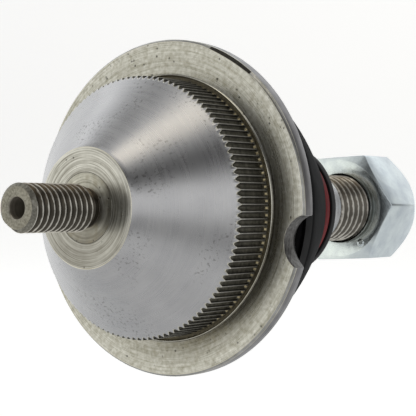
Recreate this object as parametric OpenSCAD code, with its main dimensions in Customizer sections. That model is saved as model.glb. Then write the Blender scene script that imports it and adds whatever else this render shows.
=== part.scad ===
// Press-in suspension ball joint. Millimetres.
// The axis is X: nose stud towards -X, ball stud and nut towards +X, +Z up.
// The origin is the centre of the flange's seat plane, the face that rests on the arm.

/* [Housing] */
// Flange diameter
flange_d = 60; // [57:0.5:62]
// Flange thickness
flange_t = 3.7; // [3.2:0.1:4]
// Distance from the seat plane to the flat nose face
nose_length = 20.2; // [20:0.1:24]
// Diameter of the flat nose face
nose_face_d = 20.3; // [19:0.1:22]
// Length of the serrated band, measured along its roots
serration_length = 8.2; // [6:0.1:8.6]
// Diameter over the serration crests
serration_d = 45.9; // [45.5:0.1:47]
// Depth of one serration groove
serration_depth = 0.48; // [0.3:0.02:0.6]
// Number of serrations
serrations = 120; // [60:12:144]
// Radius of the notch in the rim
notch_r = 4.7; // [3.5:0.1:5]
// Angle of the notch below the horizontal
notch_angle = 10.8; // [0:0.1:90]

/* [Nose stud] */
// Thread diameter
nose_thread_d = 8; // [6:1:10]
// Length that stands out of the nose face
nose_thread_length = 15.6; // [10:0.1:20]
// Diameter of the shoulder pressed in the nose
nose_shoulder_d = 11.9; // [11:0.1:13]
// Diameter of the centre hole
centre_hole_d = 3.4; // [2:0.1:3.8]

/* [Ball and stud] */
// Ball diameter
ball_d = 25; // [24:0.1:25]
// Distance from the seat plane to the ball's centre
ball_x = 1; // [0.9:0.05:1.1]
// Stud thread diameter
stud_thread_d = 14; // [13:0.5:14]
// Distance from the seat plane to the first thread
thread_start = 49.2; // [48:0.1:52]
// Distance from the seat plane to the stud's tip
stud_end = 75.6; // [75:0.1:80]

/* [Boot] */
// Largest diameter of the boot
boot_d = 53; // [52.5:0.1:54]
// Distance from the seat plane to the dome's edge
boot_edge_x = 25.4; // [24.5:0.1:26.5]
// Diameter of the dome's edge
boot_edge_d = 36.6; // [35:0.2:38]
// Distance from the seat plane to the end of the lip
lip_end_x = 44.4; // [43:0.1:46]

/* [Nut] */
// Distance from the seat plane to the nut's near face
nut_x = 59.6; // [56:0.1:60]
// Width across the flats
nut_flats = 22; // [21:1:24]
// Length of the nut
nut_length = 14; // [13.5:0.1:14.5]

/* [Hidden] */
$fn = 96;
run_gap = 0.05;     // radial clearance of a running fit
eps = 0.01;         // overlap that keeps a cut from leaving a skin

// Housing
flange_r = flange_d / 2;
nose_r = nose_face_d / 2;
crest_r = serration_d / 2;
root_r = crest_r - serration_depth;
cone_slope = (root_r - nose_r) / (nose_length - serration_length);  // radius gained per millimetre
crest_x = -nose_length + (crest_r - nose_r) / cone_slope;
rim_chamfer = 0.4;
rim_width = 2.5;    // width of the rim's cylinder, before the bevel at its back
back_bevel = 1.2;
relief_r = 23.5;    // outer wall of the relief groove round the serrations
relief_depth = 0.6;
bead_h = 0.25;      // turned bead on the relief groove's outer edge
bead_r = 23.85;
land_share = 0.25;  // share of the pitch left as a crest land
notch_depth = 3.4;
bore_r = 16.5;
bore_x = -9.5;
chamber_r = 11;
chamber_x = -15.4;
collar_r = 22.6;
collar_end = 13.6;
counterbore_r = 17.8;
counterbore_x = 9.2;
bead_seat = [5.2, 8];   // span of the groove that holds the boot's bead
bead_seat_r = 21;
wire_groove = [11.2, 12.4];
wire_groove_r = 18.4;

// Internals
ball_r = ball_d / 2;
ball_flat_x = -10.6;
seat_r = ball_r + run_gap;
plate_x = -13.5;
plate_t = 0.8;
shank_r = 7.2;
mouth_r = 11.9;     // opening for the shank at full tilt

// Boot
boot_r = boot_d / 2;
boot_back_x = flange_t + 0.2;
skirt_end = 8;
edge_r = boot_edge_d / 2;
dome_power = 1.2;   // 1 is a straight cone
boot_wall = 2;
neck_x = 30;        // where the flexing dome ends and the neck begins
neck_r = 12.2;
ring_x = [32.6, 35.8];  // span of the groove for the red ring
lip_r = 13.1;

// Nut
nut_end = nut_x + nut_length;
hex_corner_r = nut_flats / sqrt(3);
washer_face_r = 10.4;
far_face_r = 10.9;
nut_bore_r = stud_thread_d / 2 + 0.12;
insert_r = 8.6;
insert_x = [nut_x + 10.4, nut_end - 0.8];
nut_turn = 2.5;     // turn of the hexagon from having a corner level

// Turns an outline of [distance along the axis, radius] points about the X axis.
module turned(outline) {
    rotate([0, 90, 0]) rotate_extrude() polygon([for (p = outline) [p[1], p[0]]]);
}

// A bore or shaft along X from x0 to x1.
module along_x(r, x0, x1) {
    translate([x0, 0, 0]) rotate([0, 90, 0]) cylinder(r = r, h = x1 - x0);
}

// Radius at distance x along the axis of a sphere about the ball's centre.
function sphere_at(radius, x) = sqrt(pow(radius, 2) - pow(x - ball_x, 2));

module housing() {
    half_width = crest_r * sin(180 / serrations) * (1 - land_share);
    overshoot = 1.2;
    notch_centre_r = flange_r - notch_depth + notch_r;
    color("silver") difference() {
        turned([
            [chamber_x - eps, 0], [-nose_length, 0], [-nose_length, nose_r], [crest_x, crest_r],
            [relief_depth, crest_r], [relief_depth, relief_r], [-bead_h, relief_r], [0, bead_r],
            [0, flange_r - rim_chamfer], [rim_chamfer, flange_r], [rim_width, flange_r],
            [flange_t, flange_r - back_bevel], [flange_t, collar_r], [bead_seat[0], collar_r],
            [bead_seat[0], bead_seat_r], [bead_seat[1], bead_seat_r], [bead_seat[1], collar_r],
            [collar_end - 1, collar_r], [collar_end, collar_r - 1], [collar_end, 0]]);
        // stepped bore behind the nose wall, and the groove for the wire ring
        along_x(chamber_r, chamber_x, bore_x + eps);
        along_x(bore_r, bore_x, counterbore_x + eps);
        along_x(counterbore_r, counterbore_x, collar_end + eps);
        turned([
            [wire_groove[0], counterbore_r - 1], [wire_groove[0], wire_groove_r],
            [wire_groove[1], wire_groove_r], [wire_groove[1], counterbore_r - 1]]);
        // hole for the nose stud
        along_x(nose_shoulder_d / 2, -nose_length - eps, chamber_x + eps);
        // serrations: V grooves that run out on the cone
        translate([-nose_length, 0, 0]) rotate([0, 90, 0]) linear_extrude(nose_length)
            for (i = [0 : serrations - 1]) rotate(i * 360 / serrations)
                polygon([
                    [root_r, 0],
                    [root_r + serration_depth * overshoot, half_width * overshoot],
                    [root_r + serration_depth * overshoot, -half_width * overshoot]]);
        // notch in the rim
        rotate([notch_angle, 0, 0]) translate([-eps, -notch_centre_r, 0]) rotate([0, 90, 0])
            cylinder(r = notch_r, h = flange_t + 2 * eps);
    }
}

module nose_stud() {
    thread_r = nose_thread_d / 2;
    tip_x = -nose_length - nose_thread_length;
    tip_chamfer = 0.6;
    core_r = thread_r - 0.75;
    runout = 1.2;
    hole_depth = 9;
    mouth = 0.5;
    color("dimgray") difference() {
        turned([
            [tip_x, 0], [tip_x, thread_r - tip_chamfer], [tip_x + tip_chamfer, thread_r],
            [-nose_length - runout, thread_r], [-nose_length - runout / 2, core_r],
            [-nose_length, core_r], [-nose_length, nose_shoulder_d / 2],
            [chamber_x, nose_shoulder_d / 2], [chamber_x, 0]]);
        along_x(centre_hole_d / 2, tip_x - eps, tip_x + hole_depth);
        turned([[tip_x - eps, 0], [tip_x - eps, centre_hole_d / 2 + mouth], [tip_x + mouth, 0]]);
    }
}

module preload_spring() {
    wall = 0.7;
    inner_r = 5;
    outer_r = chamber_r - 0.5;
    color("slategray") turned([
        [chamber_x, inner_r], [chamber_x + wall, inner_r], [plate_x, outer_r - wall / 2],
        [plate_x, outer_r], [plate_x - wall, outer_r]]);
}

module thrust_plate() {
    along = [plate_x, plate_x + plate_t];
    color("gray") along_x(chamber_r - 0.3, along[0], along[1]);
}

module lower_seat() {
    back_x = plate_x + plate_t + run_gap;
    shelf_x = bore_x + 0.1;
    front_x = -1.2;
    color("ivory") difference() {
        turned([
            [back_x, 0], [back_x, chamber_r - run_gap], [shelf_x, chamber_r - run_gap],
            [shelf_x, bore_r - run_gap], [front_x, bore_r - run_gap], [front_x, 0]]);
        translate([ball_x, 0, 0]) sphere(r = seat_r);
    }
}

module upper_seat() {
    back_x = 0;
    flare_length = 4;   // the flare runs on into the ball's hollow
    flare_drop = 2.6;
    color("ivory") difference() {
        turned([
            [back_x, ball_r - 4], [back_x, bore_r], [counterbore_x, bore_r],
            [counterbore_x, mouth_r], [counterbore_x - flare_length, mouth_r - flare_drop],
            [counterbore_x - flare_length, ball_r - 4]]);
        translate([ball_x, 0, 0]) sphere(r = seat_r);
    }
}

module closing_ring() {
    color("gray") turned([
        [counterbore_x, mouth_r], [counterbore_x, counterbore_r],
        [wire_groove[0], counterbore_r], [wire_groove[0], mouth_r + 0.9]]);
}

module snap_ring() {
    wire_r = (wire_groove[1] - wire_groove[0]) / 2;
    gap_angle = 24;
    reach = wire_groove_r + 2;
    color("darkgray") difference() {
        rotate([0, 90, 0]) translate([0, 0, wire_groove[0] + wire_r])
            rotate_extrude() translate([wire_groove_r - wire_r, 0]) circle(r = wire_r);
        // the gap between the ring's ends
        translate([wire_groove[0] - 1, 0, 0]) rotate([90, 0, 90]) linear_extrude(4)
            polygon([[0, 0], [reach, 0], [reach * cos(gap_angle), reach * sin(gap_angle)]]);
    }
}

module base_ring() {
    span = [5.2, 7.2];
    color("gray") turned([
        [span[0], boot_r + run_gap], [span[0], boot_r + 0.6], [span[1], boot_r + 0.6],
        [span[1], boot_r + run_gap]]);
}

// Outer radius of the dome, t from 0 at the skirt's end to 1 at the dome's edge.
function dome_r(t) = edge_r + (boot_r - edge_r) * (1 - pow(t, dome_power));

module dust_boot() {
    steps = 10;
    span = boot_edge_x - skirt_end;
    dome = [for (i = [0 : steps]) [skirt_end + span * i / steps, dome_r(i / steps)]];
    lining = [for (i = [steps : -1 : 5]) [dome[i][0] - boot_wall, dome[i][1] - boot_wall / 2]];
    color([0.15, 0.15, 0.15]) turned(concat(
        [[boot_back_x, boot_r - 1], [boot_back_x + 1, boot_r]],
        dome,
        [[boot_edge_x + 1.2, edge_r - 1.4], [neck_x, neck_r], [neck_x, shank_r + 1.4]],
        lining,
        [[collar_end + 0.4, collar_r + 0.2], [bead_seat[1] - 0.1, collar_r + run_gap],
         [bead_seat[1] - 0.1, bead_seat_r + run_gap], [bead_seat[0] + 0.1, bead_seat_r + run_gap],
         [bead_seat[0] + 0.1, collar_r + run_gap], [boot_back_x, collar_r + run_gap]]));
}

module boot_neck() {
    color([0.15, 0.15, 0.15]) turned([
        [neck_x + run_gap, shank_r + 1], [neck_x + run_gap, neck_r], [ring_x[0], neck_r],
        [ring_x[0], neck_r - 0.4], [ring_x[1], neck_r - 0.4], [ring_x[1], lip_r - 0.3],
        [ring_x[1] + 0.4, lip_r], [38.2, lip_r], [39.6, lip_r - 0.9], [lip_end_x - 2, shank_r + 2.2],
        [lip_end_x, shank_r + 1.4], [lip_end_x, shank_r + 1]]);
}

module neck_ring() {
    color([0.48, 0.1, 0.12]) turned([
        [ring_x[0], neck_r - 0.4], [ring_x[0], lip_r - 0.5], [ring_x[0] + 0.3, lip_r - 0.2],
        [ring_x[1] - 0.3, lip_r - 0.2], [ring_x[1], lip_r - 0.5], [ring_x[1], neck_r - 0.4]]);
}

module neck_sleeve() {
    color("silver") turned([
        [neck_x + run_gap, shank_r + run_gap], [neck_x + run_gap, shank_r + 1],
        [lip_end_x, shank_r + 1], [lip_end_x, shank_r + run_gap]]);
}

module ball_stud() {
    thread_r = stud_thread_d / 2;
    tip_chamfer = 1.2;
    color("darkslategray") union() {
        difference() {
            translate([ball_x, 0, 0]) sphere(r = ball_r);
            along_x(ball_r, ball_flat_x - 5, ball_flat_x);
        }
        turned([
            [ball_x, 0], [ball_x, shank_r], [thread_start - 0.3, shank_r],
            [thread_start, thread_r], [stud_end - tip_chamfer, thread_r],
            [stud_end, thread_r - tip_chamfer], [stud_end, 0]]);
    }
}

module hex_nut() {
    near_cut = 0.9;
    far_cut = 3.8;
    mouth = 0.35;
    color([0.78, 0.82, 0.85]) difference() {
        intersection() {
            translate([nut_x, 0, 0]) rotate([-nut_turn, 0, 0]) rotate([0, 90, 0])
                rotate(30) cylinder(r = hex_corner_r, h = nut_length, $fn = 6);
            turned([
                [nut_x, 0], [nut_x, washer_face_r], [nut_x + near_cut, hex_corner_r + 0.2],
                [nut_end - far_cut, hex_corner_r + 0.2], [nut_end, far_face_r],
                [nut_end, 0]]);
        }
        along_x(nut_bore_r, nut_x - eps, nut_end + eps);
        turned([
            [nut_x - eps, 0], [nut_x - eps, nut_bore_r + mouth], [nut_x + mouth, nut_bore_r],
            [nut_x + mouth, 0]]);
        along_x(insert_r, insert_x[0], insert_x[1]);
    }
}

module lock_insert() {
    color("white") difference() {
        along_x(insert_r, insert_x[0], insert_x[1]);
        along_x(nut_bore_r, insert_x[0] - eps, insert_x[1] + eps);
    }
}

housing();
nose_stud();
preload_spring();
thrust_plate();
lower_seat();
upper_seat();
closing_ring();
snap_ring();
base_ring();
dust_boot();
boot_neck();
neck_ring();
neck_sleeve();
ball_stud();
hex_nut();
lock_insert();
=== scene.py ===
"""Ball joint: the visual pieces, their finishes and the studio, laid out as an add-on."""

import math

import bmesh
import bpy
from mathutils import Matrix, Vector


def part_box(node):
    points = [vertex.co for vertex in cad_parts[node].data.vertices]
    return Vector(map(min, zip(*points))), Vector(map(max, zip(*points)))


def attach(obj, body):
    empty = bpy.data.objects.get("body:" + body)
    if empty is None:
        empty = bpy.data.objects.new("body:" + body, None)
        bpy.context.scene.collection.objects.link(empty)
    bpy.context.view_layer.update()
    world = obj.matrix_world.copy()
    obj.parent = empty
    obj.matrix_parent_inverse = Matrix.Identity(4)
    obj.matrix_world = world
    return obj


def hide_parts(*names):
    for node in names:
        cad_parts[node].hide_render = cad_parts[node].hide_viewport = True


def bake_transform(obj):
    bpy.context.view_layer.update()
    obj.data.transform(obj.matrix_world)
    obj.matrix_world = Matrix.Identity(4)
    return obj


bl_info = {
    "name": "Press-in ball joint",
    "version": (1, 0, 0),
    "blender": (4, 5, 0),
    "location": "3D View > Sidebar > Ball joint",
    "description": "Builds a suspension ball joint round its packed frame",
    "category": "Object",
}

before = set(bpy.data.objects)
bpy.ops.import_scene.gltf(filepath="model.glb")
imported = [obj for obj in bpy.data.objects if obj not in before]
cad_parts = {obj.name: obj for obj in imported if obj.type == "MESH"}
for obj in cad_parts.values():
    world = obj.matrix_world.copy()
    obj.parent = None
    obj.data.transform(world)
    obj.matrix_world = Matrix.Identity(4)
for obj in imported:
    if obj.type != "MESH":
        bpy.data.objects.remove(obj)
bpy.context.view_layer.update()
MM = 0.001
TURN = 2 * math.pi
MARK = 9  # how long a turning mark keeps its tone round the axis, in mm
THREAD_DEPTH = 0.6134  # depth of a metric thread as a share of its pitch


# ---- colours and nodes

def linear(code):
    """A '#rrggbb' sRGB colour as linear red, green, blue and alpha."""
    parts = [int(code[i:i + 2], 16) / 255 for i in (1, 3, 5)]
    return [p / 12.92 if p <= 0.04045 else ((p + 0.055) / 1.055) ** 2.4 for p in parts] + [1.0]


def add(tree, kind, inputs=None, out=0, stops=None, **settings):
    """Adds one node and returns one of its outputs.

    inputs gives its sockets values or other nodes' outputs, stops gives a ramp its colours
    and places, and settings are the node's own properties.
    """
    made = tree.nodes.new("ShaderNode" + kind)
    for key, value in settings.items():
        setattr(made, key, value)
    for key, value in (inputs or {}).items():
        if isinstance(value, bpy.types.NodeSocket):
            tree.links.new(value, made.inputs[key])
        else:
            made.inputs[key].default_value = value
    for number, (place, colour) in enumerate(stops or []):
        elements = made.color_ramp.elements
        element = elements[number] if number < len(elements) else elements.new(place)
        element.position = place
        element.color = colour if isinstance(colour, (list, tuple)) else [colour] * 3 + [1.0]
    return made.outputs[out] if len(made.outputs) else None


def new_tree(name):
    """An empty node material and its tree."""
    made = bpy.data.materials.new(name)
    made.use_nodes = True
    made.node_tree.nodes.clear()
    return made, made.node_tree


def millimetres(tree):
    """The object's own place in mm: the vector, x, and the distance from the X axis."""
    place = add(tree, "TexCoord", out="Object")
    scaled = add(tree, "VectorMath", {0: place, 1: (1000, 1000, 1000)}, operation="MULTIPLY")
    across = add(tree, "VectorMath", {0: scaled, 1: (0, 1, 1)}, operation="MULTIPLY")
    radius = add(tree, "VectorMath", {0: across}, out="Value", operation="LENGTH")
    return scaled, add(tree, "SeparateXYZ", {0: scaled}), radius


def turned_marks(tree, feed):
    """Noise drawn out round the axis, as a lathe tool leaves it, feed mm from mark to mark."""
    scaled, x, radius = millimetres(tree)
    along = add(tree, "Math", {0: x, 1: radius}, operation="ADD")
    stretched = add(tree, "CombineXYZ", {
        0: add(tree, "Math", {0: along, 1: 1 / feed}, operation="MULTIPLY")})
    round_axis = add(tree, "VectorMath", {0: scaled, 1: (0, 1 / MARK, 1 / MARK)},
                     operation="MULTIPLY")
    place = add(tree, "VectorMath", {0: stretched, 1: round_axis}, operation="ADD")
    return add(tree, "TexNoise", {"Vector": place, "Scale": 1.0, "Detail": 3.0})


def patches(tree, size, detail=4.0, offset=0.0):
    """Cloudy noise with patches of that size in mm."""
    moved = add(tree, "VectorMath", {0: millimetres(tree)[0], 1: (offset, offset, offset)},
                operation="ADD")
    return add(tree, "TexNoise", {"Vector": moved, "Scale": 1 / size, "Detail": detail})


# ---- materials

def turned_steel(name, light, dark, rough, feed, depth, anisotropy=0.0, cloud_size=3.0,
                 stain=None, pits=0.0, contrast=0.15, metal=1.0, streak=0.5, fade=None,
                 painted_shade=None, scuffs=0.0):
    """Carbon steel cut on a lathe: a satin sheen that fans out across the tool marks.

    feed, depth and cloud_size are in mm. A real feed is about 0.1 mm, too fine to show, so it
    is drawn coarser. streak is the marks' share of the tone, and the clouds have the rest.
    fade darkens it from one x to another, stain is (tone, amount), and painted_shade is
    painted shade laid over the steel: its tone, the radii it fades out between, the side it is
    darkest on, where it starts and is full there, and how dense it is.
    """
    made, tree = new_tree(name)
    marks = turned_marks(tree, feed)
    cloud = add(tree, "Math", {0: patches(tree, cloud_size), 1: 1 - streak}, operation="MULTIPLY")
    both = add(tree, "Math", {0: marks, 1: streak, 2: cloud}, operation="MULTIPLY_ADD")
    share = add(tree, "ValToRGB", {0: both}, stops=[(0.5 - contrast, 0.0), (0.5 + contrast, 1.0)])
    scaled, x, radius = millimetres(tree)
    if fade:
        kept = add(tree, "MapRange", {"Value": x, "From Min": fade[0], "From Max": fade[1],
                                      "To Min": 1.0, "To Max": 0.0})
        share = add(tree, "Math", {0: share, 1: kept}, operation="MULTIPLY")
    colour = add(tree, "Mix", {0: share, 6: dark, 7: light}, out=2, data_type="RGBA")
    layers = []  # what is laid over the steel's colour (painted shade, scuffs, stains, pits): how much of it, and its tone
    if painted_shade:
        # Painted shade: it fades out towards the rim, and is darkest on one side.
        tone, (inner, outer), side, (unshaded, thick), (least, most) = painted_shade
        near = add(tree, "MapRange", {"Value": radius, "From Min": inner, "From Max": outer,
                                      "To Min": 1.0, "To Max": 0.0})
        low = add(tree, "VectorMath", {0: scaled, 1: side}, out="Value", operation="DOT_PRODUCT")
        low = add(tree, "MapRange", {"Value": low, "From Min": unshaded, "From Max": thick,
                                     "To Min": least, "To Max": most})
        uneven = add(tree, "MapRange", {"Value": both, "From Min": 0.3, "From Max": 0.7,
                                        "To Min": 1.0, "To Max": 0.75})
        shade_amount = add(tree, "Math", {0: near, 1: low}, operation="MULTIPLY")
        shade_amount = add(tree, "Math", {0: shade_amount, 1: uneven}, operation="MULTIPLY")
        layers.append((shade_amount, tone))
    if scuffs:
        drawn = add(tree, "VectorMath", {0: scaled, 1: (0.7, 2.4, 2.4)}, operation="MULTIPLY")
        drawn = add(tree, "TexNoise", {"Vector": drawn, "Scale": 1.0, "Detail": 4.0})
        spots = add(tree, "ValToRGB", {0: drawn}, stops=[(0.57, 0.0), (0.66, 1.0)])
        where = add(tree, "ValToRGB", {0: patches(tree, 7.0, offset=23.0)},
                    stops=[(0.46, 0.0), (0.58, scuffs)])
        spots = add(tree, "Math", {0: spots, 1: where}, operation="MULTIPLY")
        layers.append((spots, linear("#6c6a66")))
    if stain:
        tone, densest = stain
        shape = add(tree, "ValToRGB", {0: patches(tree, cloud_size * 1.7, offset=31.0)},
                    stops=[(0.46, 0.0), (0.68, densest)])
        layers.append((shape, tone))
    relief = add(tree, "Bump", {"Height": marks, "Distance": depth * MM})
    if pits:
        cells = add(tree, "TexVoronoi", {"Vector": millimetres(tree)[0], "Scale": 0.9})
        pit = add(tree, "ValToRGB", {0: cells}, stops=[(pits * 0.5, 1.0), (pits, 0.0)])
        where = add(tree, "ValToRGB", {0: patches(tree, 2.3, offset=11.0)},
                    stops=[(0.52, 0.0), (0.6, 0.8)])
        pit = add(tree, "Math", {0: pit, 1: where}, operation="MULTIPLY")
        layers.append((pit, linear("#2c2820")))
        relief = add(tree, "Bump", {"Height": pit, "Distance": 0.04 * MM, "Normal": relief},
                     invert=True)
    for amount, tone in layers:
        colour = add(tree, "Mix", {0: amount, 6: colour, 7: tone}, out=2, data_type="RGBA")
    sheen = add(tree, "MapRange", {"Value": marks, "To Min": rough * 0.8, "To Max": rough * 1.2})
    inputs = {"Base Color": colour, "Metallic": metal, "Roughness": sheen, "Normal": relief}
    if anisotropy:
        inputs["Anisotropic"] = anisotropy
        inputs["Anisotropic Rotation"] = 0.25
        inputs["Tangent"] = add(tree, "Tangent", direction_type="RADIAL", axis="X")
    add(tree, "OutputMaterial", {"Surface": add(tree, "BsdfPrincipled", inputs)})
    return made


def thread_steel(name, crest_r, root_r, light, dark, rough, rust):
    """Rolled thread: worn crests with painted highlight, roots in painted shade, brown bloom on
    top.
    """
    made, tree = new_tree(name)
    scaled, _x, radius = millimetres(tree)
    # Lighter towards the crests, darker towards the roots: partly wear, partly painted highlight on
    # the crests and painted shade in the roots.
    height = add(tree, "MapRange", {"Value": radius, "From Min": root_r, "From Max": crest_r})
    cloud = patches(tree, 1.1)
    worn = add(tree, "Math", {0: cloud, 1: 0.5, 2: height}, operation="MULTIPLY_ADD")
    worn = add(tree, "Math", {0: worn, 1: 0.8}, operation="MULTIPLY")
    share = add(tree, "ValToRGB", {0: worn}, stops=[(0.83, 0.0), (0.95, 1.0)])
    colour = add(tree, "Mix", {0: share, 6: dark, 7: light}, out=2, data_type="RGBA")
    top = add(tree, "SeparateXYZ", {0: scaled}, out=2)
    upper = add(tree, "MapRange", {"Value": top, "From Min": crest_r * 0.1,
                                   "From Max": crest_r * 0.9})
    bloom = add(tree, "ValToRGB", {0: patches(tree, 1.9, offset=5.0)},
                stops=[(0.35, 0.0), (0.6, 0.6)])
    bloom = add(tree, "Math", {0: upper, 1: bloom}, operation="MULTIPLY")
    colour = add(tree, "Mix", {0: bloom, 6: colour, 7: rust}, out=2, data_type="RGBA")
    sheen = add(tree, "MapRange", {"Value": cloud, "To Min": rough * 0.7, "To Max": rough * 1.3})
    relief = add(tree, "Bump", {"Height": patches(tree, 0.5), "Distance": 0.02 * MM})
    shader = add(tree, "BsdfPrincipled", {"Base Color": colour, "Metallic": 1.0,
                                          "Roughness": sheen, "Normal": relief})
    add(tree, "OutputMaterial", {"Surface": shader})
    return made


def zinc_plate(name, tint, shade, pip):
    """Bright zinc over forged steel: pale blue-white with faint cloudy passivation."""
    made, tree = new_tree(name)
    share = add(tree, "ValToRGB", {0: patches(tree, 3.2, detail=3.0)},
                stops=[(0.3, 0.0), (0.7, 1.0)])
    colour = add(tree, "Mix", {0: share, 6: shade, 7: tint}, out=2, data_type="RGBA")
    sheen = add(tree, "MapRange", {"Value": patches(tree, 0.9, offset=3.0), "To Min": 0.14,
                                   "To Max": 0.24})
    relief = add(tree, "Bump", {"Height": patches(tree, 2.6, offset=9.0), "Distance": 0.03 * MM})
    relief = add(tree, "Bump", {"Height": patches(tree, 0.5, offset=4.0),
                                "Distance": 0.003 * MM, "Normal": relief})
    # A round pip left in the near face by the forging die.
    away = add(tree, "VectorMath", {0: millimetres(tree)[0], 1: pip}, out="Value",
               operation="DISTANCE")
    rise = add(tree, "MapRange", {"Value": away, "From Min": 0.45, "From Max": 0.85,
                                  "To Min": 1.0, "To Max": 0.0}, interpolation_type="SMOOTHSTEP")
    relief = add(tree, "Bump", {"Height": rise, "Distance": 0.25 * MM, "Normal": relief})
    shader = add(tree, "BsdfPrincipled", {"Base Color": colour, "Metallic": 1.0,
                                          "Roughness": sheen, "Normal": relief})
    add(tree, "OutputMaterial", {"Surface": shader})
    return made


def moulded(name, colour, shade, rough, dust=None, gloss=0.5):
    """Moulded rubber or plastic: an even satin skin, faintly uneven from the mould."""
    made, tree = new_tree(name)
    cloud = patches(tree, 5.0)
    share = add(tree, "ValToRGB", {0: cloud}, stops=[(0.35, 0.0), (0.65, 1.0)])
    tone = add(tree, "Mix", {0: share, 6: shade, 7: colour}, out=2, data_type="RGBA")
    if dust:
        thin = add(tree, "ValToRGB", {0: patches(tree, 2.2, detail=6.0, offset=17.0)},
                   stops=[(0.55, 0.0), (0.75, 0.5)])
        tone = add(tree, "Mix", {0: thin, 6: tone, 7: dust}, out=2, data_type="RGBA")
    sheen = add(tree, "MapRange", {"Value": cloud, "To Min": rough * 0.85, "To Max": rough * 1.15})
    relief = add(tree, "Bump", {"Height": patches(tree, 3.5, offset=8.0), "Distance": 0.06 * MM})
    relief = add(tree, "Bump", {"Height": patches(tree, 0.5, offset=2.0),
                                "Distance": 0.012 * MM, "Normal": relief})
    shader = add(tree, "BsdfPrincipled", {"Base Color": tone, "Roughness": sheen,
                                          "Specular IOR Level": gloss, "Normal": relief})
    add(tree, "OutputMaterial", {"Surface": shader})
    return made


# ---- meshes

def mesh_object(name, points, faces, slots, materials, sharp):
    """A smooth-shaded mesh from points in mm, with a material number for each face."""
    work = bmesh.new()
    vertices = [work.verts.new(Vector(point) * MM) for point in points]
    for corners, slot in zip(faces, slots):
        face = work.faces.new([vertices[i] for i in corners])
        face.material_index = slot
        face.smooth = True
    bmesh.ops.remove_doubles(work, verts=work.verts, dist=0.0005 * MM)
    bmesh.ops.dissolve_degenerate(work, edges=work.edges, dist=0.0003 * MM)
    bmesh.ops.recalc_face_normals(work, faces=work.faces)
    data = bpy.data.meshes.new(name)
    work.to_mesh(data)
    work.free()
    data.set_sharp_from_angle(angle=math.radians(sharp))
    for material in materials:
        data.materials.append(material)
    made = bpy.data.objects.new(name, data)
    bpy.context.scene.collection.objects.link(made)
    return made


def circle(x, radius, columns, slot=0):
    """A ring's points about the X axis, or the one point on it, with its material number."""
    if radius == 0:
        return [(x, 0, 0)], slot
    angles = [TURN * j / columns for j in range(columns)]
    return [(x, radius * math.cos(a), radius * math.sin(a)) for a in angles], slot


def lathe(name, rings, columns, materials, closed=False, sharp=35, helix=None):
    """Joins rings of points into a mesh.

    Each ring is (points, material number), and its number is that of the faces up to the
    next ring. helix is the span of rings that are thread rows: their seam climbs one turn.
    """
    points, starts, faces, slots = [], [], [], []
    for line, _slot in rings:
        starts.append((len(points), len(line)))
        points.extend(line)

    def corner(number, column, wrapped):
        if wrapped and helix and helix[0] <= number < helix[1]:
            number = min(helix[1] - 1, number + len(THREAD))
        start, count = starts[number]
        return start + column % count

    steps = len(rings) if closed else len(rings) - 1
    for a in range(steps):
        b = (a + 1) % len(rings)
        for j in range(columns):
            k = (j + 1) % columns
            wrapped = k == 0
            corners = [corner(a, j, False), corner(a, k, wrapped),
                       corner(b, k, wrapped), corner(b, j, False)]
            corners = list(dict.fromkeys(corners))
            if len(corners) > 2:
                slot = rings[a][1]
                faces.append(corners)
                slots.append(slot(j) if callable(slot) else slot)
    return mesh_object(name, points, faces, slots, materials, sharp)


THREAD = [  # each row of a thread: its share of the pitch, and of the depth that is left
    (0.00, 0.93), (0.03, 1.0), (0.10, 1.0), (0.13, 0.93), (0.42, 0.08),
    (0.46, 0.02), (0.56, 0.0), (0.66, 0.02), (0.70, 0.08)]


def thread_rows(start, end, pitch, crest_r, root_r, shape, columns):
    """Right-hand thread rows from start to end. shape(x, radius) fits them to the ends."""
    rows = []
    for number in range(-len(THREAD), int((end - start) / pitch + 1) * len(THREAD) + 1):
        turn, step = divmod(number, len(THREAD))
        share, left = THREAD[step]
        row = []
        for j in range(columns):
            x = min(max(start + pitch * (turn + share + j / columns), start), end)
            radius = shape(x, root_r + (crest_r - root_r) * left)
            angle = TURN * j / columns
            row.append((x, radius * math.cos(angle), radius * math.sin(angle)))
        rows.append((row, 0))
    return rows


def finish_piece(piece, body, slot, *nodes):
    """Hands a piece to the frame: its body and the nodes it stands for. Its material slot is not
    used.
    """
    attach(piece, body)
    if nodes:
        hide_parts(*nodes)


def dress(node, material):
    """Gives a CAD node its finish."""
    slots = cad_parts[node].data.materials
    slots.clear()
    slots.append(material)


# ---- settings

def size_setting(name, description, default):
    """A length property, from a size in mm."""
    return bpy.props.FloatProperty(name=name, description=description, default=default * MM,
                                   unit="LENGTH", min=0.0, precision=5)


def count_setting(name, description, default):
    """A whole-number property."""
    return bpy.props.IntProperty(name=name, description=description, default=default, min=3)


def colour_setting(name, description, code):
    """A colour property, from a '#rrggbb' colour."""
    return bpy.props.FloatVectorProperty(name=name, description=description, size=4,
                                         default=linear(code), subtype="COLOR", min=0, max=1)


class HousingSettings(bpy.types.PropertyGroup):
    """Sizes and colours of the housing."""

    flange_radius: size_setting("Flange radius", "Outer radius of the flange", 30)
    flange_thickness: size_setting("Flange thickness", "Thickness of the flange", 3.7)
    nose_length: size_setting("Nose length", "From the seat plane to the nose face", 20.2)
    nose_radius: size_setting("Nose radius", "Radius of the flat nose face", 10.15)
    crest_radius: size_setting("Crest radius", "Radius over the serrations", 22.95)
    groove_depth: size_setting("Groove depth", "Depth of a serration", 0.5)
    notch_radius: size_setting("Notch radius", "Radius of the notch in the rim", 4.7)
    notch_depth: size_setting("Notch depth", "Depth of the notch", 3.4)
    notch_angle: bpy.props.FloatProperty(
        name="Notch angle", description="Angle of the notch below the horizontal",
        default=math.radians(10.8), subtype="ANGLE")
    serrations: count_setting("Serrations", "Number of serrations", 120)
    steel: colour_setting("Steel", "Light tone of the turned steel", "#d3d3d3")
    seat: colour_setting("Seat face", "Light tone of the flange's seat face", "#dcdcd7")
    groove: colour_setting("Grooves", "Tone of the serrations' grooves", "#7d7a6e")


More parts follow.
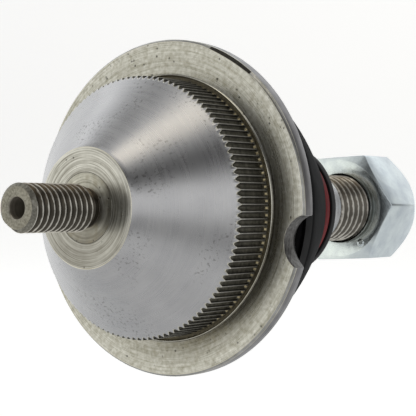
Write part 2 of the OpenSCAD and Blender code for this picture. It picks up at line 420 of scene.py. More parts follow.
class StudSettings(bpy.types.PropertyGroup):
    """Sizes and colours of the two studs and the nut."""

    nose_thread_radius: size_setting("Nose thread radius", "Major radius of the nose thread", 4)
    nose_pitch: size_setting("Nose pitch", "Pitch of the nose thread", 1.25)
    stud_thread_radius: size_setting("Stud thread radius", "Major radius of the stud thread", 7)
    stud_pitch: size_setting("Stud pitch", "Pitch of the stud thread", 2)
    nut_flats: size_setting("Across flats", "Width of the nut across its flats", 22)
    # The crest and root tones are partly wear, partly painted highlight on the crests and painted
    # shade in the roots.
    crest: colour_setting("Thread crests", "Tone of the burnished crests", "#dedad0")
    root: colour_setting("Thread roots", "Tone of the dull roots", "#56524a")
    rust: colour_setting("Bloom", "Tone of the brown bloom", "#74644d")
    zinc: colour_setting("Zinc", "Tone of the nut's plating", "#ecf6f7")


class BootSettings(bpy.types.PropertyGroup):
    """Sizes and colours of the boot and its ring."""

    base_radius: size_setting("Base radius", "Radius of the boot's skirt", 26.5)
    edge_radius: size_setting("Edge radius", "Radius of the dome's edge", 18.3)
    edge_place: size_setting("Edge place", "From the seat plane to the dome's edge", 25.4)
    lip_radius: size_setting("Lip radius", "Radius of the lip", 13.1)
    lean: bpy.props.FloatProperty(name="Lip lean", description="How far the lip leans",
                                  default=math.radians(1.5), subtype="ANGLE")
    rubber: colour_setting("Rubber", "Tone of the boot", "#0e0e0f")
    ring: colour_setting("Ring", "Tone of the neck's ring", "#8a1218")


# ---- housing

# Four of these finishes are painted light: a highlight on the edges, glints at the grooves' ends,
# shade in the relief groove, and shade on the grooves' walls and the rim's worn flat.
CONE, NOSE_FACE, GROOVE, LAND, FACE, RIM, NOTCH, BACK, GLINT, RELIEF_SHADE, DARK_SHADE, END_GLINT, CHAMFER = \
    range(13)
# One serration's columns: each one's place in the pitch, and how deep it is cut.
SERRATION = [(0.0, 1.0), (0.16, 0.9), (0.3, 0.5), (0.42, 0.06), (0.5, 0.0), (0.58, 0.06),
             (0.7, 0.5), (0.84, 0.9)]
STEPS = len(SERRATION)
NICK_AT, NICK_HALF = math.radians(120), math.radians(13)  # a worn flat on the rim, painted dark with painted shade


def housing_materials(look):
    """The housing's finishes, in the order of its material numbers."""
    return [
        # Turned fine and wiped: a soft sheen that fans out across the marks, and a few scuffs.
        turned_steel("Turned steel, fine feed", look.steel, linear("#bcbcbe"), rough=0.28,
                     feed=0.7, depth=0.0015, anisotropy=0.65, cloud_size=4.0, contrast=0.3,
                     streak=0.4, scuffs=0.55),
        # Faced with a coarse feed: plain rings that catch the light, and painted shade that makes
        # it duller low down.
        turned_steel("Faced steel, coarse feed", look.seat, linear("#918f87"), rough=0.3, feed=0.2,
                     depth=0.008, anisotropy=0.4, cloud_size=1.3, pits=0.2, streak=0.85,
                     painted_shade=(linear("#74716a"), (6, 18), (0, 0.1, -0.99), (0, 8), (0.0, 0.85))),
        # Rolled in and never wiped: dull brown-black grooves.
        turned_steel("Rolled steel, oxide in the grooves", look.groove, linear("#46443b"),
                     rough=0.36, feed=0.8, depth=0.01, cloud_size=0.8, metal=0.5),
        # Painted highlight on the crests: pale at the nose end, fading to dark towards the flange.
        turned_steel("Rolled steel, crests with painted highlight", linear("#f4f2ea"), linear("#68665e"),
                     rough=0.22, feed=0.8, depth=0.002, cloud_size=0.8, fade=(-9.0, 1.0),
                     contrast=0.5, metal=0.15),
        # Faced, handled and stored: cloudy and specked with oil stains, and painted shade by the
        # serrations, darkest on one side.
        turned_steel("Faced steel, oil stains and painted shade", look.seat, linear("#9c9b90"), rough=0.28,
                     feed=0.3, depth=0.006, anisotropy=0.25, cloud_size=0.7,
                     stain=(linear("#8a8676"), 0.45), pits=0.24, contrast=0.17, streak=0.55,
                     painted_shade=(linear("#5a5546"), (24.2, 28.6), (0, -0.8, -0.6), (8, 21),
                            (0.25, 0.95))),
        # Turned plain: an even grey band.
        turned_steel("Turned steel, rim", linear("#a6a5a5"), linear("#7d7c7d"), rough=0.3,
                     feed=0.4, depth=0.004, anisotropy=0.3),
        # Milled across the lathe's marks: rough and dark.
        turned_steel("Milled steel, notch", linear("#8b8a87"), linear("#4a4846"), rough=0.4,
                     feed=0.5, depth=0.02, cloud_size=0.6),
        # Turned and left: a dull grey.
        turned_steel("Turned steel, plain back", linear("#a4a4a6"), linear("#77777a"), rough=0.36,
                     feed=0.5, depth=0.008, anisotropy=0.4),
        # Painted highlight on the edges: a thin bright line.
        turned_steel("Painted highlight, arris", linear("#f0ede0"), linear("#c9c4b2"), rough=0.2,
                     feed=0.5, depth=0.002),
        # Painted shade in the relief groove: matt, dark brown.
        turned_steel("Painted shade in the relief", linear("#7a7156"), linear("#4c4636"), rough=0.5,
                     feed=0.8, depth=0.01, cloud_size=0.7, metal=0.15),
        # Painted shade on the grooves' walls and the rim's worn flat: nearly black.
        turned_steel("Rolled steel, painted shade", linear("#45433c"), linear("#24221d"), rough=0.4,
                     feed=0.8, depth=0.01, cloud_size=0.8, metal=0.6),
        # Painted highlight where a groove climbs out: a yellowish glint.
        turned_steel("Rolled steel, painted glints at groove ends", linear("#cdbf97"), linear("#8b8062"),
                     rough=0.3, feed=0.8, depth=0.01, cloud_size=0.8, metal=0.8),
        # Turned last: a shade lighter than the rim.
        turned_steel("Turned steel, chamfer", linear("#c4c4c2"), linear("#97978f"), rough=0.28,
                     feed=0.4, depth=0.004, anisotropy=0.3, cloud_size=1.5),
    ]


def wrap(angle):
    """An angle brought between minus and plus half a turn."""
    return (angle + math.pi) % TURN - math.pi


def flange_outline(radius, notch_r, centre, notch_at, columns, first):
    """The flange's edge as (y, z, in the notch) for each column.

    first is half the angle the notch takes on the outermost edge. The columns inside it are
    spread along the notch, and the others along the rest of the edge.
    """
    half = math.acos((centre ** 2 + radius ** 2 - notch_r ** 2) / (2 * centre * radius))
    reach = math.acos((centre ** 2 + notch_r ** 2 - radius ** 2) / (2 * centre * notch_r))
    away = [wrap(TURN * j / columns - notch_at) for j in range(columns)]
    widest = max(abs(a) for a in away if abs(a) < first)
    edge = []
    for angle in away:
        if abs(angle) < first:
            turn = notch_at + math.pi - angle / widest * reach
            edge.append((centre * math.cos(notch_at) + notch_r * math.cos(turn),
                         centre * math.sin(notch_at) + notch_r * math.sin(turn), True))
        else:
            share = (abs(angle) - first) / (math.pi - first)
            turn = notch_at + math.copysign(half + share * (math.pi - half), angle)
            edge.append((radius * math.cos(turn), radius * math.sin(turn), False))
    return edge


def build_housing(s):
    """The housing: cone, serrations that run out on it, flange with its notch, and bore."""
    crest, depth = s.crest_radius / MM, s.groove_depth / MM
    nose_x, nose_r = -s.nose_length / MM, s.nose_radius / MM
    flange_r, flange_t = s.flange_radius / MM, s.flange_thickness / MM
    columns = s.serrations * STEPS
    root_end = -8.2  # where the deepest groove floor meets the cone
    slope = (crest - depth - nose_r) / (root_end - nose_x)
    soft = 0.09  # a worn arris
    bead_end = 23.9  # outer radius of the bead raised beside the serrations
    floor = [crest - depth * SERRATION[j % STEPS][1] for j in range(columns)]
    turns = [TURN * (j // STEPS + SERRATION[j % STEPS][0]) / s.serrations
             for j in range(columns)]

    def shaped(shape, slot):
        """A ring whose (x, radius) differs from column to column."""
        line = []
        for j, angle in enumerate(turns):
            x, radius = shape(j)
            line.append((x, radius * math.cos(angle), radius * math.sin(angle)))
        return line, slot

    def run_out(j):
        """Where a column's groove floor meets the cone."""
        return nose_x + (floor[j] - nose_r) / slope

    def band(j):
        """The finish after this column: crest with painted highlight, flank with painted shade, or
        floor.
        """
        cut = SERRATION[j % STEPS][1] + SERRATION[(j + 1) % STEPS][1]
        return LAND if cut < 0.1 else DARK_SHADE if cut < 1 else GROOVE

    rings = [circle(nose_x + 0.06, 5.95, columns, BACK), circle(nose_x, 5.99, columns, NOSE_FACE)]
    rings += [circle(nose_x, r, columns, NOSE_FACE) for r in (7.4, 8.8)]
    rings += [circle(nose_x, nose_r - 0.08, columns, GLINT),
              circle(nose_x + 0.05, nose_r + 0.04, columns, CONE)]
    rings += [circle(x, nose_r + (x - nose_x) * slope, columns, CONE)
              for x in (-19.6, -17, -14, -11, -9, root_end - 0.35)]
    # A thin ring of painted highlight where the groove floors run out on the cone.
    rings.append(shaped(lambda j: (run_out(j) - soft, floor[j] - soft * slope), GLINT))
    rings.append(shaped(lambda j: (run_out(j) + soft, floor[j]), band))
    rings += [shaped(lambda j, x=x: (x, floor[j]), band) for x in (-7.5, -6, -4, -2, -0.7)]
    end = 0.3  # the far end of a groove climbs to the crest over this length
    # The grooves' far ends carry painted glints.
    rings.append(shaped(lambda j: (-end, floor[j]),
                        lambda j: END_GLINT if j % STEPS in (0, STEPS - 1) else GROOVE))
    # The relief groove beside the flange is in painted shade, and the bead's edge has a painted
    # highlight.
    rings.append(shaped(lambda j: (-0.05, crest - (crest - floor[j]) * 0.35), RELIEF_SHADE))
    rings += [circle(x, r, columns, slot) for x, r, slot in (
        (0.0, crest - 0.03, RELIEF_SHADE), (0.26, crest, RELIEF_SHADE), (0.3, 23.4, RELIEF_SHADE),
        (0.2, 23.52, RELIEF_SHADE), (-0.14, 23.55, GLINT), (-0.23, 23.59, GLINT),
        (-0.25, 23.67, GLINT), (-0.2, 23.76, FACE), (0.0, bead_end, FACE))]

    notch_r = s.notch_radius / MM
    notch_at = math.pi + s.notch_angle
    centre = flange_r - s.notch_depth / MM + notch_r
    first = math.acos((centre ** 2 + flange_r ** 2 - notch_r ** 2) / (2 * centre * flange_r))

    def at_edge(x, inset, slot, blend=1.0, nick=0.0):
        """A ring set in from the flange's edge, or part of the way to it from a circle."""
        line = []
        outline = flange_outline(flange_r - inset, notch_r + inset * 0.3, centre, notch_at,
                                 columns, first)
        for j, (y, z, _notched) in enumerate(outline):
            angle = TURN * j / columns
            across = wrap(angle - NICK_AT) / NICK_HALF
            worn = 1 - nick / flange_r * max(0.0, 1 - across ** 2)
            y, z = y * worn, z * worn
            near_y, near_z = bead_end * math.cos(angle), bead_end * math.sin(angle)
            line.append((x, near_y + (y - near_y) * blend, near_z + (z - near_z) * blend))
        return line, slot

    edge = flange_outline(flange_r, notch_r, centre, notch_at, columns, first)

    def rim_slot(slot):
        """The finish after each column of the edge: milled in the notch, painted shade on the worn
        flat.
        """
        def chosen(j):
            if edge[j][2] and edge[(j + 1) % columns][2]:
                return NOTCH
            worn = abs(wrap(TURN * j / columns - NICK_AT)) < NICK_HALF * 0.75
            return DARK_SHADE if worn and slot == CHAMFER else slot
        return chosen

    rings += [at_edge(0, 0.5, FACE, blend) for blend in (0.2, 0.45, 0.7, 0.88)]
    rings += [at_edge(0, 0.46, GLINT, nick=0.3),
              at_edge(0.03, 0.37, rim_slot(CHAMFER), nick=0.3),
              at_edge(0.34, 0.04, rim_slot(GLINT)), at_edge(0.44, 0, rim_slot(RIM)),
              at_edge(2.4, 0, rim_slot(RIM)), at_edge(2.56, 0.06, rim_slot(RIM)),
              at_edge(flange_t - 0.06, 1.16, rim_slot(BACK)), at_edge(flange_t, 1.26, BACK)]
    rings.append(at_edge(flange_t, 1.26, BACK, 0.5))
    # The back with the boot's groove, then the bore: the snap ring's groove, the closing
    # ring's step, the seats, the spring and the nose stud's hole.
    inside = [(flange_t, 22.6), (5.2, 22.6), (5.2, 21), (8, 21), (8, 22.6), (12.6, 22.6),
              (13.6, 21.6), (13.6, 17.8), (12.4, 17.8), (12.4, 18.4), (11.2, 18.4),
              (11.2, 17.8), (9.2, 17.8), (9.2, 16.5), (-9.5, 16.5), (-9.5, 11), (-15.4, 11),
              (-15.4, 5.95)]
    rings += [circle(x, radius, columns, BACK) for x, radius in inside]
    return lathe("joint_housing", rings, columns, housing_materials(s), closed=True, sharp=28)


class HousingOperator(bpy.types.Operator):
    """Builds the turned housing with its serrated cone, flange and notch"""

    bl_idname = "balljoint.housing"
    bl_label = "Housing"

    def execute(self, context):
        made = build_housing(context.scene.housing_settings)
        finish_piece(made, "housing", "turned_steel", "housing")
        return {"FINISHED"}


# ---- studs

def build_nose_stud(s, nose_x):
    """The nose stud: centre hole, M8 thread, and the shoulder pressed in the nose."""
    columns = 96
    major, pitch = s.nose_thread_radius / MM, s.nose_pitch / MM
    root = major - THREAD_DEPTH * pitch
    tip, end = nose_x - 15.6, nose_x - 0.9
    rolled, drilled, deburred, disc, cropped = range(5)
    before = [circle(x, r, columns, slot) for x, r, slot in (
        (tip + 9, 0, drilled), (tip + 8.2, 1.7, drilled), (tip + 0.2, 1.7, deburred),
        (tip + 0.06, 1.78, deburred), (tip, 1.86, cropped), (tip, 3.3, cropped))]

    def shape(x, radius):
        """Thread radius cut by the tip's rounded chamfer, and fading out at the neck."""
        chamfer = 3.35 + math.sqrt(max(0.0, 1 - (1 - min(1.0, (x - tip) / 0.7)) ** 2)) * 0.7
        fade = min(1.0, max(0.0, (x - end + 0.9) / 0.9))
        return min(chamfer, radius + (root + 0.02 - radius) * fade)

    thread = [(row, lambda j, row=row: cropped if row[j][0] < tip + 0.6 else rolled)
              for row, _slot in
              thread_rows(tip + 0.001, end, pitch, major, root, shape, columns)]
    after = [circle(nose_x - 0.1, root + 0.02, columns, rolled)]
    after += [circle(x, r, columns, disc) for x, r in (
        (nose_x, root + 0.15), (nose_x, 5.9), (nose_x + 0.03, 5.93), (-15.45, 5.93),
        (-15.45, 0))]
    bar = thread_steel("Rolled thread steel, nose", major, root, s.crest, s.root, 0.34, s.rust)
    # Drilled: grey-brown walls with little shine.
    hole = turned_steel("Drilled steel, dull", linear("#8b857a"), linear("#5d574d"), rough=0.5,
                        feed=0.6, depth=0.02, metal=0.3)
    # Deburred: a light ring round the hole.
    mouth = turned_steel("Countersunk steel", linear("#b9b4a8"), linear("#7d786e"), rough=0.3,
                         feed=0.5, depth=0.008)
    # Faced along with the nose, and stained: a disc a shade duller, with painted shade darker low
    # down.
    faced = turned_steel("Faced steel, stud", linear("#d6d5cb"), linear("#7f7d72"), rough=0.32,
                         feed=0.4, depth=0.012, anisotropy=0.4, cloud_size=1.0,
                         stain=(linear("#837c69"), 0.6), pits=0.2, contrast=0.2, streak=0.7,
                         painted_shade=(linear("#74716a"), (6, 18), (0, 0, -1), (-1, 5), (0.1, 0.9)))
    # Cropped and tumbled: an even, speckled grey.
    end_face = turned_steel("Sheared steel, speckled", linear("#a19f95"), linear("#6a675e"),
                            rough=0.36, feed=0.6, depth=0.01, cloud_size=0.35, contrast=0.2,
                            streak=0.2)
    return lathe("nose_stud_threaded", before + thread + after, columns,
                 [bar, hole, mouth, faced, end_face], sharp=40,
                 helix=(len(before), len(before) + len(thread)))


def build_ball_stud(s):
    """The ball stud: ball with its flat, neck, plain shank and M14 thread."""
    columns = 128
    major, pitch = s.stud_thread_radius / MM, s.stud_pitch / MM
    root = major - THREAD_DEPTH * pitch
    shank, start, tip = 7.2, 49.2, 75.6
    centre, ball = 1.0, 12.5
    arc_from, arc_to = math.acos(-11.6 / ball), math.asin(shank / ball)
    arc = [arc_from + (arc_to - arc_from) * i / 24 for i in range(25)]
    rolled, ground = range(2)
    before = [circle(-10.6, 0, columns, ground)]
    before += [circle(centre + ball * math.cos(a), ball * math.sin(a), columns, ground)
               for a in arc]
    before += [circle(x, shank, columns, ground) for x in (20, 40, start - 0.5)]
    before.append(circle(start - 0.35, shank - 0.02, columns, rolled))

    def shape(x, radius):
        """Thread radius rising from the shank and cut by the tip's chamfer."""
        fade = min(1.0, max(0.0, 1 - (x - start) / (pitch * 0.7)))
        return min(radius + (6.95 - radius) * fade, 5.75 + (tip - x) * 1.0)

    thread = thread_rows(start, tip, pitch, major, root, shape, columns)
    after = [circle(tip, 0, columns, rolled)]
    bar = thread_steel("Rolled thread steel, stud", major, root, s.crest, linear("#6f6b63"), 0.32,
                       s.rust)
    # Ground: smooth and bright, with fine lines round it.
    plain = turned_steel("Ground steel, shank", linear("#d9dadb"), linear("#a5a5a5"), rough=0.22,
                         feed=0.6, depth=0.002, anisotropy=0.4)
    return lathe("ball_stud_threaded", before + thread + after, columns, [bar, plain], sharp=40,
                 helix=(len(before), len(before) + len(thread)))


class StudsOperator(bpy.types.Operator):
    """Builds the nose stud and the ball stud with their rolled threads"""

    bl_idname = "balljoint.studs"
    bl_label = "Studs"

    def execute(self, context):
        s = context.scene.stud_settings
        nose_x = -context.scene.housing_settings.nose_length / MM
        finish_piece(build_nose_stud(s, nose_x), "housing", "stud_steel", "nose_stud")
        finish_piece(build_ball_stud(s), "stud", "stud_steel", "ball_stud")
        return {"FINISHED"}


# ---- nut

def build_nut(s, low):
    """The lock nut: a full-length hexagon with a washer face, its corners cut at both ends."""
    per_side = 24
    columns = per_side * 6
    flat = s.nut_flats / MM / 2
    near, end = low, low + 14
    plated, shaded_bore = range(2)
    turn = math.radians(-2.5)
    corner_r = 0.5
    corner_c = (flat - corner_r) / math.cos(math.pi / 6)

    def around(j):
        """A column's angle from the hexagon's own zero, with more columns near the corners."""
        side, step = divmod(j, per_side)
        u = step / per_side * 2 - 1
        return (side + 0.5) * TURN / 6 + math.pi / 6 * math.sin(u * math.pi / 2)

    def hexagon(j):
        """The rounded hexagon's radius at a column."""
        off_corner = abs((around(j) + TURN / 12) % (TURN / 6) - TURN / 12)
        side = flat / math.cos(math.pi / 6 - off_corner)
        across = corner_c * math.sin(off_corner)
        if across < corner_r * 0.5:
            side = min(side, corner_c * math.cos(off_corner)
                       + math.sqrt(corner_r ** 2 - across ** 2))
        return side

    def line(shape, slot=plated):
        """A ring whose (x, radius) differs from column to column."""
        points = []
        for j in range(columns):
            x, radius = shape(j)
            angle = around(j) + turn
            points.append((x, radius * math.cos(angle), radius * math.sin(angle)))
        return points, slot

    washer, near_drop, far_face, far_drop = 10.4, 0.36, 10.9, 1.9
    bore = s.stud_thread_radius / MM + 0.12
    # The bore's mouth at the near face is in painted shade.
    rings = [line(lambda j, p=p: p, slot) for p, slot in (
        ((near + 0.42, bore), shaded_bore), ((near + 0.35, bore + 0.02), shaded_bore),
        ((near + 0.02, bore + 0.36), plated), ((near, bore + 0.44), plated),
        ((near, 8.8), plated), ((near, washer - 0.08), plated), ((near + 0.03, washer), plated))]
    for inset, along in ((0.22, -0.08), (0.05, 0.0), (0.0, 0.14)):
        rings.append(line(lambda j, i=inset, a=along: (
            near + max(0.04, (hexagon(j) - washer) * near_drop + a), hexagon(j) - i)))
    for inset, along in ((0.0, 0.2), (0.05, 0.0), (0.22, -0.42)):
        rings.append(line(lambda j, i=inset, a=along: (
            end - max(0.06, (hexagon(j) - far_face) * far_drop + a), hexagon(j) - i)))
    rings += [line(lambda j, p=p: p) for p in (
        (end - 0.04, far_face), (end, far_face - 0.1), (end, bore + 0.3), (end - 0.3, bore),
        (end - 0.75, bore), (end - 0.75, 8.65), (end - 3.65, 8.65), (end - 3.65, bore))]
    plate = zinc_plate("Bright zinc plate", s.zinc, linear("#d3dde3"), (near, -5.4, -7.4))
    # Painted shade in the tapped bore: dark.
    dark = turned_steel("Tapped steel, painted shade", linear("#5a5a5a"), linear("#242424"), rough=0.4,
                        feed=0.8, depth=0.01)
    return lathe("lock_nut", rings, columns, [plate, dark], closed=True, sharp=30)


class NutOperator(bpy.types.Operator):
    """Builds the zinc-plated lock nut and finishes its nylon insert"""

    bl_idname = "balljoint.nut"
    bl_label = "Lock nut"

    def execute(self, context):
        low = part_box("hex_nut")[0].x / MM
        finish_piece(build_nut(context.scene.stud_settings, low), "nut", "zinc_plate", "hex_nut")
        # Moulded nylon: a milky white ring with a slight sheen.
        dress("lock_insert", moulded("Nylon insert", linear("#e4e2da"), linear("#cfccc0"), 0.4))
        return {"FINISHED"}


# ---- boot

def build_boot(s):
    """The dome: skirt under the flange, swollen wall, rolled edge and the fold to the neck."""
    columns = 144
    base, edge_r, edge_x = s.base_radius / MM, s.edge_radius / MM, s.edge_place / MM
    inner = base - 3.85
    skirt = 8.0
    outline = [(3.95, inner), (3.92, base - 1.0), (4.1, base - 0.4), (4.6, base - 0.05),
               (5.0, base), (6.0, base), (7.2, base), (skirt, base - 0.02)]
    steps = 22
    for i in range(1, steps):
        t = i / steps
        outline.append((skirt + (edge_x - 0.5 - skirt) * t,
                        edge_r + 0.1 + (base - edge_r) * (1 - t ** 1.2)))
    roll = 0.9  # radius of the rolled edge
    for i in range(9):
        a = math.radians(60 - i * 17)
        outline.append((edge_x - 0.35 + roll * math.sin(math.radians(90) - a) * 0.9,
                        edge_r - roll + roll * math.sin(a) * 1.0))
    outline += [(26.9, 16.2), (27.6, 15.0), (28.5, 13.7), (29.3, 12.8), (30.0, 12.2),
                (30.0, 8.7), (28.0, 10.5), (24.0, 15.4), (20.0, 19.2), (16.0, 22.2), (13.8, 22.9),
                (7.9, inner), (7.9, 21.05), (5.3, 21.05), (5.3, inner)]
    # Moulded neoprene: nearly black and matt, with a little dust.
    rubber = moulded("Neoprene rubber, dome", s.rubber, linear("#0e0e0f"), 0.62, gloss=0.03,
                     dust=linear("#1b1a19"))
    return lathe("dust_boot_dome", [circle(x, r, columns) for x, r in outline], columns,
                 [rubber], closed=True, sharp=60)


def build_neck(s):
    """The neck and lip of the boot, and the red ring in its groove, leaning a little."""
    columns = 128
    lip = s.lip_radius / MM
    # The same neoprene, rubbed smooth where the ring is pushed on.
    rubber = moulded("Neoprene rubber, neck", s.rubber, linear("#0e0e0f"), 0.5, gloss=0.1)
    neck_line = [(30.06, 8.3), (30.06, 12.15), (31.2, 11.9), (32.5, 12.0), (32.7, 11.85),
                 (35.7, 11.85), (35.75, 12.7), (35.95, 13.0), (36.4, lip), (37.9, lip),
                 (38.6, 12.95), (39.5, 12.3), (40.6, 11.3), (41.6, 10.2), (42.6, 9.3),
                 (43.6, 8.75), (44.2, 8.55), (44.4, 8.4), (44.4, 8.3)]
    neck = lathe("boot_neck_lip", [circle(x, r, columns) for x, r in neck_line], columns,
                 [rubber], closed=True, sharp=60)
    ring_line = [(32.75, 11.9), (32.7, 12.5), (32.95, 12.8), (33.3, 12.88), (35.2, 12.88),
                 (35.5, 12.8), (35.7, 12.5), (35.65, 11.9)]
    # Moulded polyurethane: dark red, smoother than the rubber.
    red = moulded("Polyurethane ring, dark red", s.ring, linear("#640d12"), 0.38, gloss=0.2)
    band = lathe("neck_band", [circle(x, r, columns) for x, r in ring_line], columns, [red],
                 closed=True, sharp=60)
    for piece in (neck, band):
        lean_piece(piece, s.lean)
    return neck, band


def lean_piece(piece, angle):
    """Leans and lowers the outside of a neck piece a little, and leaves its bore alone."""
    for vertex in piece.data.vertices:
        x, y, z = (c / MM for c in vertex.co)
        free = min(1.0, max(0.0, (math.hypot(y, z) - 8.6) / 3)) * min(1.0, max(0.0, (x - 30.1) / 3))
        lip = free * min(1.0, max(0.0, (x - 35.9) / 1.5))
        if y < 0:
            y *= 1 - 0.035 * lip  # the lip is a little flat on this side
        z -= 0.3 * free
        x += z * math.tan(angle) * free + y * math.tan(angle * 1.4) * lip
        vertex.co = Vector((x, y, z)) * MM


class BootOperator(bpy.types.Operator):
    """Builds the rubber boot, its neck and lip, and the red ring"""

    bl_idname = "balljoint.boot"
    bl_label = "Dust boot"

    def execute(self, context):
        s = context.scene.boot_settings
        dome = build_boot(s)
        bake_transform(dome)
        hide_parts("dust_boot")
        neck, band = build_neck(s)
        finish_piece(neck, "neck", "boot_rubber", "boot_neck")
        finish_piece(band, "neck", "red_ring", "neck_ring")
        return {"FINISHED"}


# ---- parts inside

class InsideOperator(bpy.types.Operator):
    """Finishes the parts inside the housing and the rings of the boot"""

    bl_idname = "balljoint.inside"
    bl_label = "Inner parts"

    def execute(self, context):
        # Moulded acetal: its own milky colour, satin.
        acetal = moulded("Acetal, natural", linear("#e6e2d4"), linear("#d3cdbb"), 0.4)
        # Pressed from strip: smooth grey.
        pressed = turned_steel("Pressed steel", linear("#b4b4b4"), linear("#8b8b8b"), rough=0.35,
                               feed=0.8, depth=0.01)
        # Hardened and tempered: blue-grey.
        tempered = turned_steel("Tempered spring steel", linear("#6d7078"), linear("#43454b"),
                                rough=0.32, feed=0.8, depth=0.006)
        # Chemically blackened: satin black.
        black = turned_steel("Black oxide steel", linear("#303030"), linear("#1c1c1c"), rough=0.45,
                             feed=0.8, depth=0.008)
        for node in ("lower_seat", "upper_seat"):
            dress(node, acetal)
        for node in ("thrust_plate", "closing_ring", "neck_sleeve"):
            dress(node, pressed)
        for node in ("preload_spring", "snap_ring"):
            dress(node, tempered)
        dress("base_ring", black)
        return {"FINISHED"}


# ---- studio

VIEW = Vector((0.7935, 0.6086, 0))  # the way the camera looks
CAMERA_PLACE = Vector((-0.1735, -0.1432, 0))
LENS = 109.1
TENT = [  # brightness of the tent round the part, by degrees up from the camera's side
    (-180, 0.98), (-165, 0.816), (-150, 0.628), (-138, 0.585), (-127, 0.551), (-114, 0.543),
    (-101, 0.519), (-85, 0.573), (-65, 0.514), (-48, 0.591), (-35, 0.548), (-24, 0.303),
    (-14, 0.366), (-5, 0.655), (4, 0.755), (12, 0.783), (18, 0.713), (24, 0.373), (30, 0.107),
    (36, 0.0459), (43, 0.0749), (50, 0.355), (57, 0.519), (65, 0.542), (73, 0.649), (81, 0.667),
    (90, 0.372), (101, 0.288), (114, 0.582), (130, 1.08), (150, 0.85), (180, 0.98)]


def build_tent(world):
    """A light tent: bright walls, with a dark gap above the camera and one to its right."""
    world.use_nodes = True
    tree = world.node_tree
    tree.nodes.clear()
    way = add(tree, "TexCoord")
    right = VIEW.cross(Vector((0, 0, 1)))
    to_front = add(tree, "VectorMath", {0: way, 1: -VIEW}, out="Value", operation="DOT_PRODUCT")
    to_right = add(tree, "VectorMath", {0: way, 1: right}, out="Value", operation="DOT_PRODUCT")
    height = add(tree, "SeparateXYZ", {0: way}, out=2)
    turn = add(tree, "Math", {0: height, 1: to_front}, operation="ARCTAN2")
    share = add(tree, "MapRange", {"Value": turn, "From Min": -math.pi, "From Max": math.pi})
    # The wall behind the part is a little bluer than the front.
    stops = [((angle + 180) / 360, [level * (0.98 if abs(angle) > 105 else 1),
                                    level * (0.99 if abs(angle) > 105 else 1), level, 1])
             for angle, level in TENT]
    around = add(tree, "ValToRGB", {0: share}, stops=stops)
    # The right side is dark above and lighter below.
    slanted = add(tree, "Math", {0: height, 1: 0.5, 2: to_right}, operation="MULTIPLY_ADD")
    slanted = add(tree, "MapRange", {"Value": slanted, "From Min": -1.2, "From Max": 1.2})
    sides = add(tree, "ValToRGB", {0: slanted}, stops=[
        (0.1, linear("#fffdf4")), (0.5, linear("#fbfaf6")), (0.69, 0.72), (0.9, 0.4),
        (0.935, 0.16), (1.0, 0.1)])
    beside = add(tree, "Math", {0: to_right}, operation="ABSOLUTE")
    beside = add(tree, "MapRange", {"Value": beside, "From Min": 0.6, "From Max": 0.95},
                 interpolation_type="SMOOTHSTEP")
    tone = add(tree, "Mix", {0: beside, 6: around, 7: sides}, out=2, data_type="RGBA")
    light = add(tree, "Background", {"Color": tone, "Strength": 1.0})
    add(tree, "OutputWorld", {"Surface": light})


def build_floor():
    """A round floor that curves up into a wall, and only shows: it lights nothing."""
    columns = 96
    drop, reach, bend = -95, 1500, 500
    rings = []
    outline = [(0, 0), (reach * 0.4, 0), (reach, 0)]
    outline += [(reach + bend * math.sin(a), bend * (1 - math.cos(a)))
                for a in (math.radians(d) for d in range(10, 91, 10))]
    outline.append((reach + bend, bend * 4))
    for radius, up in outline:
        points = [(0, 0, drop + up)] if radius == 0 else [
            (radius * math.cos(TURN * j / columns), radius * math.sin(TURN * j / columns),
             drop + up) for j in range(columns)]
        rings.append((points, 0))
    paint, tree = new_tree("White emulsion, floor")
    # Rolled emulsion: flat and even, with no sheen.
    shader = add(tree, "BsdfPrincipled", {
        "Base Color": linear("#f4f4f2"), "Roughness": 0.9,
        "Emission Color": linear("#ffffff"), "Emission Strength": 0.5})
    add(tree, "OutputMaterial", {"Surface": shader})
    made = lathe("studio_floor", rings, columns, [paint])
    for use in ("visible_diffuse", "visible_glossy", "visible_transmission", "visible_shadow"):
        setattr(made, use, False)


def build_lamp(name, place, size, power, tone):
    """A soft rectangular lamp that faces the part."""
    data = bpy.data.lights.new(name, "AREA")
    data.shape, data.size, data.size_y = "RECTANGLE", size[0], size[1]
    data.energy, data.color = power, tone
    made = bpy.data.objects.new(name, data)
    made.location = place
    made.rotation_euler = (-Vector(place)).to_track_quat("-Z", "Y").to_euler()
    bpy.context.scene.collection.objects.link(made)


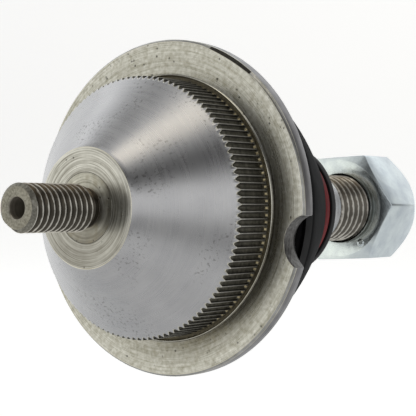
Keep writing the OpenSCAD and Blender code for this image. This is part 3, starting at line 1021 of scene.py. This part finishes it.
class StageOperator(bpy.types.Operator):
    """Builds the floor, the soft light and the camera"""

    bl_idname = "balljoint.stage"
    bl_label = "Stage"

    def execute(self, context):
        scene = context.scene
        scene.world = bpy.data.worlds.new("Light tent")
        build_tent(scene.world)
        build_floor()
        build_lamp("overhead_softbox", (-0.33, -0.12, 0.75), (0.5, 0.18), 0.3,
                   linear("#fff3dc")[:3])
        scene.view_settings.view_transform = "Standard"
        data = bpy.data.cameras.new("camera")
        data.lens, data.sensor_width = LENS, 36
        data.clip_start, data.clip_end = 0.01, 20
        camera = bpy.data.objects.new("camera", data)
        camera.location = CAMERA_PLACE
        camera.rotation_euler = VIEW.to_track_quat("-Z", "Y").to_euler()
        scene.collection.objects.link(camera)
        scene.camera = camera
        return {"FINISHED"}


# ---- add-on

OPERATORS = [HousingOperator, StudsOperator, NutOperator, BootOperator, InsideOperator,
             StageOperator]
SETTINGS = {"housing_settings": HousingSettings, "stud_settings": StudSettings,
            "boot_settings": BootSettings}


class BallJointPanel(bpy.types.Panel):
    """Lists the sizes, colours and pieces of the ball joint"""

    bl_idname = "VIEW3D_PT_ball_joint"
    bl_label = "Ball joint"
    bl_space_type = "VIEW_3D"
    bl_region_type = "UI"
    bl_category = "Ball joint"

    def draw(self, context):
        for name, group in SETTINGS.items():
            box = self.layout.box()
            for key in group.__annotations__:
                box.prop(getattr(context.scene, name), key)
        for operator in OPERATORS:
            self.layout.operator(operator.bl_idname)


def register():
    """Registers the settings, operators and panel."""
    for name, group in SETTINGS.items():
        bpy.utils.register_class(group)
        setattr(bpy.types.Scene, name, bpy.props.PointerProperty(type=group))
    for kind in OPERATORS + [BallJointPanel]:
        bpy.utils.register_class(kind)


def unregister():
    """Takes them out again."""
    for kind in [BallJointPanel] + OPERATORS[::-1]:
        bpy.utils.unregister_class(kind)
    for name, group in SETTINGS.items():
        delattr(bpy.types.Scene, name)
        bpy.utils.unregister_class(group)


def main():
    """Builds every piece in order."""
    register()
    for operator in OPERATORS:
        group, name = operator.bl_idname.split(".")
        getattr(getattr(bpy.ops, group), name)()


if __name__ == "__main__":
    main()
